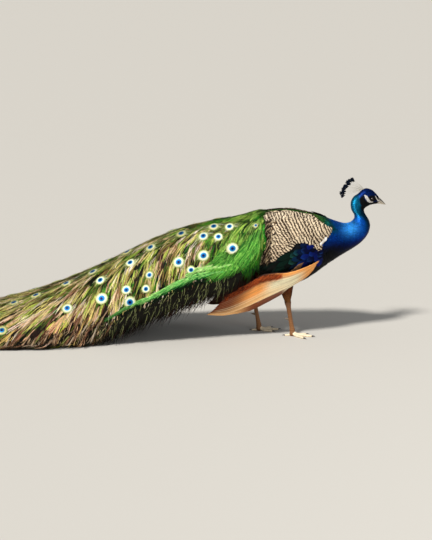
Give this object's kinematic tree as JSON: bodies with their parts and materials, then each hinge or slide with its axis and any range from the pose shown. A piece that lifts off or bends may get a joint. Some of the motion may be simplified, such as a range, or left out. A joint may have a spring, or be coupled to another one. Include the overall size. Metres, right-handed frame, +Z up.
{
  "type": "peacock",
  "caption": "Life-size male peafowl, walking, with folded wings and a long eyed train laid back on the floor; a still display model.",
  "frame": {"origin": "centre of the plan's bounding box, on the floor", "axes": "+X towards the bill, +Y towards the bird's left, +Z up"},
  "size_m": [1.9494, 0.4676, 0.551],
  "materials": {
    "bill": "horn",
    "claw": "dark horn",
    "eye": "polished, dark brown",
    "leg": "scaled skin, grey-brown",
    "blue": "glossy blue plumage",
    "teal": "glossy blue-green plumage",
    "green": "scaly bronze-green plumage",
    "train": "loose bronze-green barbs with eye spots",
    "barred": "buff plumage with fine dark bars",
    "rufous": "chestnut flight feathers",
    "dark_blue": "dark blue plumage",
    "thigh": "short buff plumage",
    "tail": "stiff brown feathers"
  },
  "bodies": {
    "root": {"bill_lower": "bill", "bill_upper": "bill", "breast": "blue", "claw_left_hind": "claw", "claw_left_inner": "claw", "claw_left_middle": "claw", "claw_left_outer": "claw", "claw_right_hind": "claw", "claw_right_inner": "claw", "claw_right_middle": "claw", "claw_right_outer": "claw", "crest": "dark_blue", "eye_left": "eye", "eye_right": "eye", "foot_left": "leg", "foot_right": "leg", "head": "blue", "neck_lower": "blue", "neck_upper": "teal", "shank_left": "leg", "shank_right": "leg", "spur_left": "claw", "spur_right": "claw", "tail": "tail", "thigh_left": "thigh", "thigh_right": "thigh", "train_end": "train", "train_front": "train", "train_middle": "train", "train_rear": "train", "train_root": "green", "trunk": "green", "wing_left_coverts": "dark_blue", "wing_left_primaries": "rufous", "wing_left_shoulder": "barred", "wing_right_coverts": "dark_blue", "wing_right_primaries": "rufous", "wing_right_shoulder": "barred"}
  },
  "joints": []
}
